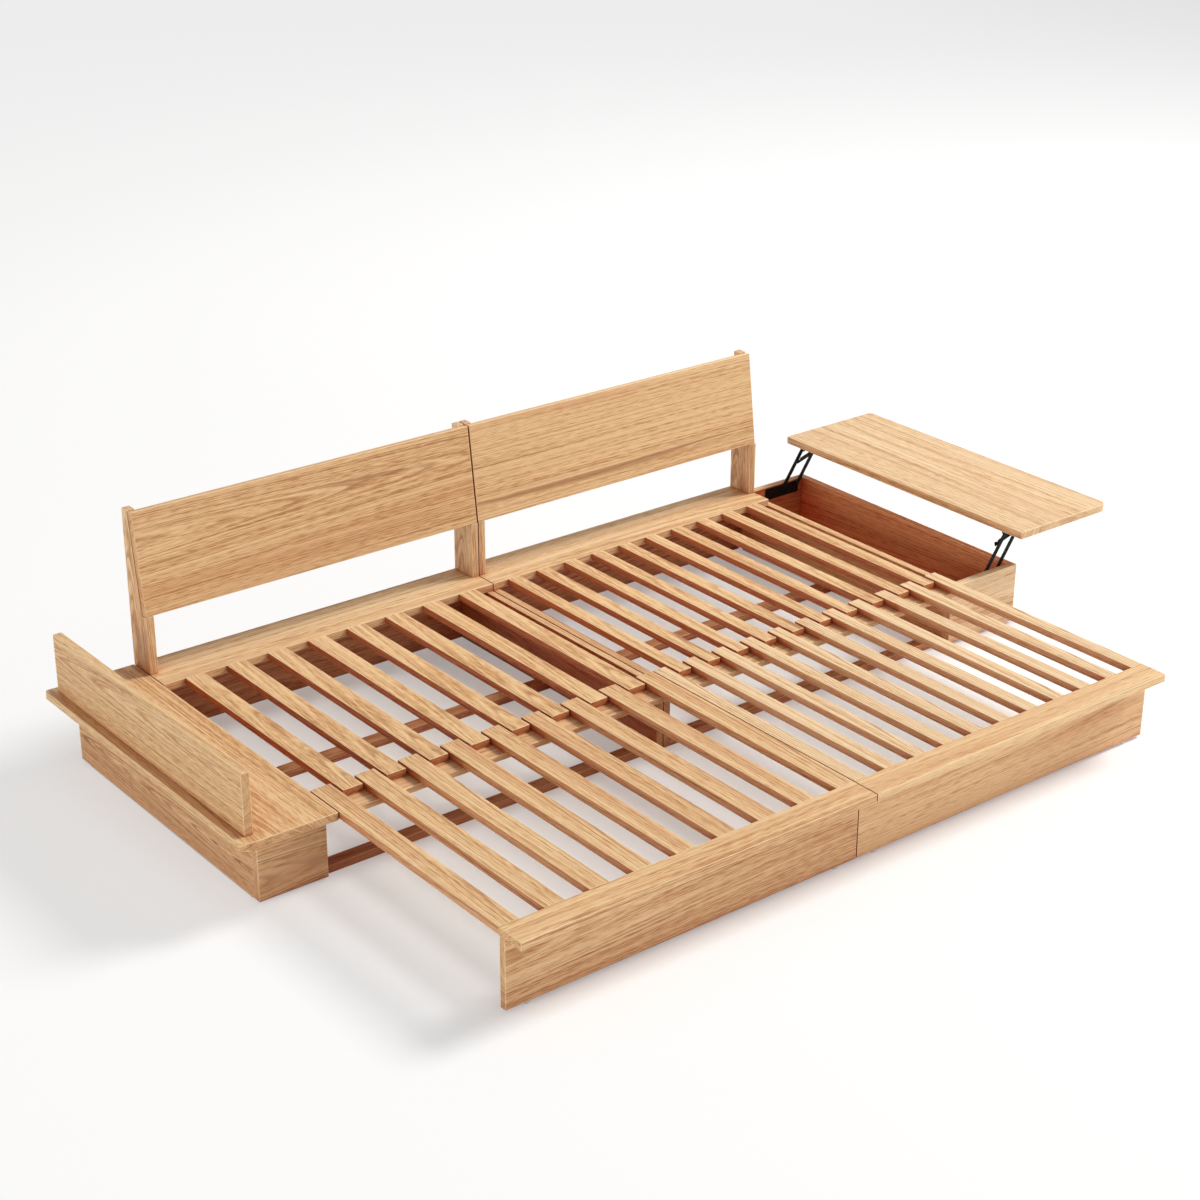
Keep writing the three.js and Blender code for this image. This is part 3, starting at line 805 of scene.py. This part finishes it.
def makeShelf(side, firstEdge, pitch, boardBottom):
    # The back board and its fixed slats replace one node
    row = slatSet[side]
    node = side + "_back_board_with_fixed_slats"
    low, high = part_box(node)
    boardFront = high.y - unitSet["boardDepth"]
    points = rectangle((low.x + easing["relief"], high.x - easing["relief"]), (boardFront, high.y))
    mesh = easedBoard(side + "BackBoard", points, "Z", (boardBottom, high.z))
    oakPiece(side + "BackBoard", mesh, "frame", [node], grainAxes["XZ"], **unitLooks["backBoard"])
    firstFixed = firstEdge + pitch / 2
    slatRow(
        side + "FixedSlats", ((firstFixed, firstFixed + row["width"]), (low.y, boardFront)), high.z,
        slatSet["fixedThickness"], (row["count"] - 1, pitch, row["seed"]), oak, "frame", "oak", node,
        **unitLooks["fixedSlats"],
    )
    return high.z


def makeComb(side, span, pitch, deckTop):
    # The pull-out's slats and the batten under their rear ends replace one node
    row, looks = slatSet[side], sideLooks[side]
    body = side + "_pullout"
    node = side + "_pullout_slats_with_batten"
    low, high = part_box(node)
    slatRow(
        side + "SlidingSlats", ((span[0], span[0] + row["width"]), (low.y, high.y)), deckTop,
        slatSet["slidingThickness"], (row["count"], pitch, row["seed"] + slatSet["slidingSeed"]),
        looks["slatFinish"], body, "pale_oak", node, tone=looks["slidingSlats"], **unitLooks["slidingSlats"],
    )
    insets = atSeam(side, unitSet["seamPanel"])
    back = high.y - unitSet["slatOverrun"]
    points = rectangle((span[0] + insets[0], span[1] - insets[1]), (back - unitSet["battenDepth"], back))
    top = deckTop - slatSet["slidingThickness"]
    levels = (top - unitSet["battenThickness"], top - unitSet["battenGap"])
    mesh = easedBoard(side + "Batten", points, "Z", levels)
    oakPiece(side + "Batten", mesh, body, [node], grainAxes["XZ"], "pale_oak", **unitLooks["batten"])


def makePulloutFront(side, boardBottom):
    body = side + "_pullout"
    for name, node, grain in (("FrontBoard", "_front_board", "XZ"), ("Apron", "_apron", "XY")):
        key = name[0].lower() + name[1:]
        nodeBoard(body + node, grain, oak, body, side + name, tone=sideLooks[side][key], **unitLooks[key])
    for place in ("outer", "inner"):
        node = body + "_" + place + "_glide"
        low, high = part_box(node)
        ring = circle((low + high) / 2, (high.x - low.x) / 2, unitSet["glideSides"])
        name = side + "ApronGlide" + place.capitalize()
        mesh = easedBoard(name, ring, "Z", (low.z, high.z), felt, easing["fineEdge"], easing["fineSegments"])
        settle(name, mesh, body, [node])

    # The cleat behind the apron is stepped, so its outline is drawn in Y and Z
    low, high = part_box(side + "_pullout_cleat")
    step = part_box(side + "_pullout_front_board")[1].y + unitSet["seat"]
    shelf = boardBottom - unitSet["seat"]
    points = rectangle((low.y, high.y), (low.z, high.z))[:3] + [(step, high.z), (step, shelf), (low.y, shelf)]
    name = side + "Cleat"
    mesh = easedBoard(name, points, "X", (low.x, high.x), oak, easing["fineEdge"], easing["fineSegments"])
    oakPiece(name, mesh, body, [side + "_pullout_cleat"], grainAxes["XZ"])


for side in sides:
    frontLow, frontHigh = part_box(side + "_pullout_front_board")
    row = slatSet[side]
    pitch = (frontHigh.x - frontLow.x - row["width"]) / (row["count"] - 1)
    deckTop = makeShelf(side, frontLow.x, pitch, frontLow.z)
    makeComb(side, (frontLow.x, frontHigh.x), pitch, deckTop)
    makePulloutFront(side, frontLow.z)
    for part, (grain, look) in underSlats.items():
        seamed = part == "seam_side_panel"
        name = side + "SeamPanel" if seamed else None
        relief = atSeam(side, easing["relief"]) if seamed else (0, 0)
        nodeBoard(side + "_" + part, grain, name=name, relief=relief, **look)
print("seat units made")


# Backrests: leaning panels on posts with a tapered upper part

backrestSet = {
    "rise": 266 * mm,
    "run": 36 * mm,
    "thickness": 20 * mm,
    "seam": 0.25 * mm,
    "postEdge": 1.2 * mm,
    # The right panel is paler than the left: partly its own tone, partly painted light that grows towards the
    # right
    "left": {"tone": -0.25, "figure": 0.55, "endShare": 0.3, "heart": (0.05, 0.09), "lean": (0.006, 0.01)},
    "right": {"tone": 0.5, "figure": 0.35, "endShare": 0.3, "heart": (-0.09, 0.06), "lean": (0.002, 0.004)},
    "post": {"tone": -0.2, "figure": 0.5, "endShare": 0.4, "heart": (0.02, 0.06), "lean": (0.0, 0.04)},
}


def makeBackrest(side):
    panelLow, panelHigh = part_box(side + "_backrest_panel")
    rise, run, thick, seam = (backrestSet[key] for key in ("rise", "run", "thickness", "seam"))
    lean = math.atan2(run, rise)
    across = Vector((0, math.cos(lean), -math.sin(lean)))
    upward = Vector((0, math.sin(lean), math.cos(lean)))
    foot = Vector((0, panelLow.y, panelHigh.z - rise))
    corners = rectangle((0, thick), (0, math.hypot(run, rise)))
    points = [(foot + across * depth + upward * height).yz for depth, height in corners]
    mesh = easedBoard(side + "Backrest", points, "X", (panelLow.x, panelHigh.x))
    axes = (Vector((1, 0, 0)), across)
    oakPiece(side + "Backrest", mesh, "frame", [side + "_backrest_panel"], axes, **backrestSet[side])

    # Both posts have one outline, with a shoulder under the panel
    postLow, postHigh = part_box(side + "_outer_post")
    back = thick + seam
    shoulderRun = (postLow.y - panelLow.y + seam * upward.y) / across.y
    upperRun = (rise - back * across.z) / upward.z
    points = [
        (postHigh.y, postLow.z),
        (postHigh.y, postHigh.z),
        (foot + across * back + upward * upperRun).yz,
        (foot + across * back - upward * seam).yz,
        (foot + across * shoulderRun - upward * seam).yz,
        (postLow.y, postLow.z),
    ]
    for place in ("outer", "inner"):
        node = side + "_" + place + "_post"
        low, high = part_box(node)
        insets = atSeam(side, easing["relief"]) if place == "inner" else (0, 0)
        span = (low.x + insets[0], high.x - insets[1])
        name = side + "Post" + place.capitalize()
        mesh = easedBoard(name, points, "X", span, paleOak, backrestSet["postEdge"])
        oakPiece(name, mesh, "frame", [node], grainAxes["ZX"], **backrestSet["post"])


for side in sides:
    makeBackrest(side)
print("backrests made")


# Storage box and its lid

storageSet = {  # each board with its grain, its finish and its look; the faces marked inner get painted shade inside the box
    "front": ("XY", paleOak, {"tone": 0.5, "endShare": 0.3}),
    "back": ("XY", oak, {"endShare": 0.3, "inner": (0, -1, 0), "share": 2.0}),
    "inner_side": ("YX", boxOak, {"inner": (1, 0, 0), "share": 0.3}),
    "outer_side": ("YX", boxOak, {"heart": (0.05, 0.1), "lean": (0.004, 0.008), "inner": (-1, 0, 0)}),
    "floor": ("YZ", boxOak, {"inner": (0, 0, 1), "share": 0.4}),
    "glide": ("YZ", felt, {}),
}
lidSet = {
    "innerRadius": 4 * mm,
    "frontRadius": 22 * mm,
    "backRadius": 14 * mm,
    "look": {
        "tone": 0.1, "figure": 0.4, "endShare": 0.25, "heart": (0.04, 0.1), "lean": (0.004, 0.008),
        # painted shade on the lid's faces towards -X
        "inner": (-1, 0, 0), "share": 0.5,
    },
}

for part, (grain, finish, look) in storageSet.items():
    nodeBoard("storage_" + part, grain, finish, **look)

low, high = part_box("storage_lid")
radii = (lidSet["innerRadius"], lidSet["frontRadius"], lidSet["backRadius"], lidSet["innerRadius"])
points = roundedRectangle((low.x, high.x), (low.y, high.y), radii)
mesh = easedBoard("storageLid", points, "Z", (low.z, high.z), paleOak)
oakPiece("storageLid", mesh, "lid", ["storage_lid"], grainAxes["YZ"], **lidSet["look"])
print("storage box made")


# Screws and rivets: turned heads that Geometry Nodes set on a piece's marked places

domeShares = ((1.0, 0.0), (0.96, 0.4), (0.75, 0.8), (0.35, 1.0))
headSet = {  # the shares are of radius and height, from the foot up
    "flatRivet": {"radius": 4.7 * mm, "height": 0.4 * mm, "shares": ((1.0, 0.0), (1.0, 0.5), (0.8, 1.0))},
    "domeRivet": {"radius": 4.7 * mm, "height": 1.3 * mm, "shares": domeShares},
    "stud": {"radius": 3.6 * mm, "height": 1.3 * mm, "shares": domeShares},
    "screw": {
        "radius": 3.9 * mm,
        "height": 1.7 * mm,
        "shares": ((1.0, 0.0), (1.0, 0.35), (0.82, 0.8), (0.58, 1.0), (0.44, 1.0), (0.4, 0.3)),
        "socketRings": (4, 5),
    },
    "sides": 12,
    "turn": 3.0,
    "seed": 11,
}


def headBlank(name, kind, axis):
    # A closed head with its foot at the origin and its top along axis, a screw's with a hex socket
    head = headSet[kind]
    sockets = head.get("socketRings", ())
    flat = math.cos(math.pi / 6)  # how far in the sides of a hexagon are
    turn = Vector((0, 0, 1)).rotation_difference(Vector(axis))
    count = headSet["sides"]
    rings = []
    for index, (share, level) in enumerate(head["shares"]):
        ring = []
        for i in range(count):
            angle = 2 * math.pi * i / count
            reach = head["radius"] * share * (flat if index in sockets and i % 2 else 1)
            corner = (reach * math.cos(angle), reach * math.sin(angle), level * head["height"])
            ring.append(turn @ Vector(corner))
        rings.append(ring)
    mesh = ringMesh(name, rings)
    mesh.materials.append(blackSteel)
    return mesh


def makeHeadTree():
    inputs = {"Places": "Object", "Blank": "Object", "Axis": "Vector", "Turn": "Float", "Seed": "Int"}
    inputs["Finish"] = "Material"
    tree, given, result = newGroup("fastenerHeads", "GeometryNodeTree", inputs, {"Geometry": "Geometry"})
    tree.is_modifier = True
    places, blank = (
        addNode(tree, "GeometryNodeObjectInfo", {"Object": given[label]}).outputs["Geometry"]
        for label in ("Places", "Blank")
    )
    limits = {3: given["Turn"], "Seed": given["Seed"]}
    turn = addNode(tree, "FunctionNodeRandomValue", limits, data_type="FLOAT").outputs[1]
    turned = {0: given["Axis"], "Scale": turn}
    spin = addNode(tree, "ShaderNodeVectorMath", turned, operation="SCALE").outputs[0]
    heads = {"Points": places, "Instance": blank, "Rotation": spin}
    placed = addNode(tree, "GeometryNodeInstanceOnPoints", heads).outputs["Instances"]
    real = addNode(tree, "GeometryNodeRealizeInstances", {"Geometry": placed}).outputs["Geometry"]
    finish = addNode(tree, "GeometryNodeSetMaterial", {"Geometry": real, "Material": given["Finish"]})
    setInputs(tree, result, {"Geometry": finish.outputs["Geometry"]})
    return tree


headTree = makeHeadTree()


def setHeads(name, kind, places, axis, body):
    marks = bpy.data.meshes.new(name + "Places")
    marks.from_pydata(places, [], [])
    markHolder = bpy.data.objects.new(name + "Places", marks)
    blank = bpy.data.objects.new(name + "Blank", headBlank(name + "Blank", kind, axis))
    for helper in (markHolder, blank):
        scene.collection.objects.link(helper)
    inputs = {"Places": markHolder, "Blank": blank, "Axis": axis, "Finish": blackSteel}
    inputs.update({"Turn": headSet["turn"], "Seed": headSet["seed"]})
    made = runTree(headTree, name, inputs)
    for helper in (markHolder, blank):
        bpy.data.objects.remove(helper)
    return settle(name, made, body, ())


# Lift mechanisms: the solids with eased edges, and the heads of their rivets and screws

liftSet = {
    "ends": {"front": 1, "rear": -1},  # the direction into the storage box along Y
    "bodies": {"base_bracket": "frame", "arm_a": "arms_a", "arm_b": "arms_b", "catch": "catches",
               "top_bracket": "lid"},
    "ease": 0.35 * mm,
    "merge": 0.002 * mm,
    "flattest": 1.0,
    "armWidth": 12 * mm,
    "plate": 2.5 * mm,
    "faceA": 6 * mm,  # outer faces of the links, from the box wall
    "faceB": 9.5 * mm,
    "earFace": 12.5 * mm,
    "catchFace": 16 * mm,
    "catchShare": 0.9,  # of the way up arm b, and the stud's up arm a
    "studShare": 0.72,
    "baseScrews": (10 * mm, 36 * mm, 92 * mm, 120 * mm),  # from the plate's end nearest the slats
    "screwRise": 10 * mm,
    "flangeReach": 19 * mm,
    "flangeScrew": 12 * mm,
}


def easedCopy(node, body):
    # The node's own shape, merged and with its sharp edges eased
    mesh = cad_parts[node].data.copy()
    work = bmesh.new()
    work.from_mesh(mesh)
    bmesh.ops.remove_doubles(work, verts=work.verts, dist=liftSet["merge"])
    flattest = math.radians(liftSet["flattest"])
    bmesh.ops.dissolve_limit(work, angle_limit=flattest, verts=work.verts, edges=work.edges)
    work.to_mesh(mesh)
    work.free()
    mesh.materials.clear()
    made = easedMesh(mesh, blackSteel, liftSet["ease"], easing["fineSegments"])
    return settle(camelName(node), made, body, [node])


def makeLift(end, inward):
    for part, body in liftSet["bodies"].items():
        easedCopy(end + "_lift_" + part, body)
    plateLow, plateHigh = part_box(end + "_lift_base_bracket")
    topLow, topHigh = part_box(end + "_lift_top_bracket")
    wall = plateLow.y if inward > 0 else plateHigh.y
    half = liftSet["armWidth"] / 2

    def atFace(x, z, face):
        return Vector((x, wall + inward * liftSet[face], z))

    pivots = {}
    for arm in ("a", "b"):
        low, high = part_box(end + "_lift_arm_" + arm)
        pivots[arm] = (Vector((low.x + half, 0, low.z + half)), Vector((high.x - half, 0, high.z - half)))
    lowA, highA = pivots["a"]
    lowB, highB = pivots["b"]
    catchAt = lowB.lerp(highB, liftSet["catchShare"])
    studAt = lowA.lerp(highA, liftSet["studShare"])
    axis = (0.0, float(inward), 0.0)
    for name, kind, points, face, body in (
        ("RivetLowA", "flatRivet", [lowA], "faceA", "frame"),
        ("RivetLowB", "domeRivet", [lowB], "faceB", "frame"),
        ("RivetsTop", "flatRivet", [highA, highB], "earFace", "lid"),
        ("CatchRivet", "domeRivet", [catchAt], "catchFace", "catches"),
        ("StudHead", "stud", [studAt], "catchFace", "arms_a"),
    ):
        places = [atFace(point.x, point.z, face) for point in points]
        setHeads(end + name, kind, places, axis, body)
    level = plateLow.z + liftSet["screwRise"]
    places = [atFace(plateLow.x + x, level, "plate") for x in liftSet["baseScrews"]]
    setHeads(end + "BaseScrews", "screw", places, axis, "frame")
    middle = (topLow.x + topHigh.x) / 2
    level = topHigh.z - liftSet["plate"]
    places = [atFace(middle + sign * liftSet["flangeScrew"], level, "flangeReach") for sign in (-1, 1)]
    setHeads(end + "FlangeScrews", "screw", places, (0.0, 0.0, -1.0), "lid")


for end, inward in liftSet["ends"].items():
    makeLift(end, inward)
print("lift mechanisms made")


# Studio: pale floor, even pale surroundings, a large soft lamp from the right and two weaker ones

studio = {
    "floorHalf": 40.0,
    "floorWhite": 0.96,
    "floorRough": 0.9,
    # The floor's white fades with distance as painted shade
    "floorFar": 0.85,
    "floorNear": 3.6,
    "floorEnd": 10.0,
    "floorGlow": 0.57,  # how much of the floor's white it gives by itself where it is seen
    "glowNear": 4.5,
    "glowEnd": 9.5,
    "deckGlow": 0.27,  # the same under the seats
    "deckHalf": (1.15, 0.83),
    "deckNear": 0.85,
    "deckEnd": 1.3,
    "dimSide": (0.784, -0.621, 0.0),  # towards the right of the view, along the floor
    "dimShare": 0.09,
    "dimNear": 8.0,
    "dimEnd": 11.5,
    "dimGone": 22.0,
    "dimWidth": 4.5,
    "backdrop": 0.85,
    "sky": 0.32,
    "skySide": 0.06,
}
lamps = {  # each one's place, aim, size, power and colour
    "key": ((11.6, -2.0, 10.9), (0.1, 0.3, 0.1), 5.4, 2600.0, (1.0, 0.985, 0.965)),
    "fill": ((-14.0, 0.3, 2.5), (0.0, 0.3, 0.2), 4.7, 530.0, (1.0, 0.94, 0.82)),
    "front": ((1.6, -13.2, 2.7), (0.3, 0.0, 0.2), 5.0, 358.0, (1.0, 0.995, 0.985)),
}


def seenRays(tree):
    # One where a ray comes from the camera, a reflection or glass, else nought
    rays = addNode(tree, "ShaderNodeLightPath")
    seen = mathNode(tree, "ADD", rays.outputs["Is Camera Ray"], rays.outputs["Is Glossy Ray"])
    return mathNode(tree, "ADD", seen, rays.outputs["Is Transmission Ray"], clamp=True)


def floorShade(tree, place, distance, values):
    # Painted shade: the white fades far away, and a little more to the right of the view
    fade = rampNode(tree, distance, values["floorNear"], values["floorEnd"], 1.0, values["floorFar"], True)
    sideways = vectorNode(tree, "DOT_PRODUCT", place, values["dimSide"], output="Value")
    rightward = rampNode(tree, sideways, 0.0, values["dimWidth"], smooth=True)
    beyond = rampNode(tree, distance, values["dimNear"], values["dimEnd"], 0.0, values["dimShare"], True)
    farther = rampNode(tree, distance, values["dimEnd"], values["dimGone"], 1.0, 0.0, True)
    dim = mathNode(tree, "MULTIPLY", mathNode(tree, "MULTIPLY", rightward, beyond), farther)
    return mathNode(tree, "SUBTRACT", fade, dim)


def floorGlow(tree, place, distance, values):
    # The share of its own light grows far away, and is less under the seats
    most = values["floorGlow"]
    share = rampNode(tree, distance, values["glowNear"], values["glowEnd"], most, 1.0, True)
    parts = addNode(tree, "ShaderNodeSeparateXYZ", {"Vector": place}).outputs
    reachX, reachY = (
        mathNode(tree, "DIVIDE", mathNode(tree, "ABSOLUTE", parts[axis]), half)
        for axis, half in zip("XY", values["deckHalf"])
    )
    deck = mathNode(tree, "MAXIMUM", reachX, reachY)
    under = rampNode(tree, deck, values["deckNear"], values["deckEnd"], values["deckGlow"], most, True)
    share = mathNode(tree, "MULTIPLY", share, mathNode(tree, "DIVIDE", under, most))
    return mathNode(tree, "MULTIPLY", seenRays(tree), share)


def makeFloor(values):
    half = values["floorHalf"]
    corners = [(x, y, 0) for x, y in rectangle((-half, half), (-half, half))]
    mesh = bpy.data.meshes.new("floor")
    mesh.from_pydata(corners, [], [(0, 1, 2, 3)])
    material, tree, shader = newMaterial("floorWhite")
    place = addNode(tree, "ShaderNodeTexCoord").outputs["Object"]
    distance = vectorNode(tree, "LENGTH", place, output="Value")
    fade = floorShade(tree, place, distance, values)
    glow = floorGlow(tree, place, distance, values)
    white = mathNode(tree, "MULTIPLY", fade, values["floorWhite"])
    matt = mathNode(tree, "MULTIPLY", mathNode(tree, "SUBTRACT", 1.0, glow), white)
    grey, pale = (
        addNode(tree, "ShaderNodeCombineColor", {"Red": level, "Green": level, "Blue": level}).outputs[0]
        for level in (matt, fade)
    )
    looks = {
        "Base Color": grey,
        "Roughness": values["floorRough"],
        "Specular IOR Level": 0.0,
        "Emission Color": pale,
        "Emission Strength": glow,
    }
    setInputs(tree, shader, looks)
    mesh.materials.append(material)
    floor = bpy.data.objects.new("floor", mesh)
    scene.collection.objects.link(floor)


def makeSky(values):
    # Dim overhead, a little brighter on the left, and one even grey where it is seen
    world = bpy.data.worlds.new("studioSky")
    scene.world = world
    world.use_nodes = True
    tree = world.node_tree
    direction = addNode(tree, "ShaderNodeTexCoord").outputs["Generated"]
    sideways = addNode(tree, "ShaderNodeSeparateXYZ", {"Vector": direction}).outputs["X"]
    lit = mathNode(tree, "MULTIPLY_ADD", sideways, -values["skySide"], values["sky"])
    seen = seenRays(tree)
    shown = mathNode(tree, "MULTIPLY", seen, values["backdrop"])
    strength = mathNode(tree, "MULTIPLY_ADD", mathNode(tree, "SUBTRACT", 1.0, seen), lit, shown)
    setInputs(tree, tree.nodes["Background"], {"Color": (1.0, 1.0, 1.0, 1.0), "Strength": strength})


def makeLamp(name, place, aim, size, power, colour):
    data = bpy.data.lights.new(name, "AREA")
    data.shape = "DISK"
    data.size = size
    data.energy = power
    data.color = colour
    lamp = bpy.data.objects.new(name, data)
    turn = (Vector(aim) - Vector(place)).to_track_quat("-Z", "Y")
    lamp.matrix_world = Matrix.Translation(place) @ turn.to_matrix().to_4x4()
    scene.collection.objects.link(lamp)


makeFloor(studio)
makeSky(studio)
for name, values in lamps.items():
    makeLamp(name, *values)
print("studio made")
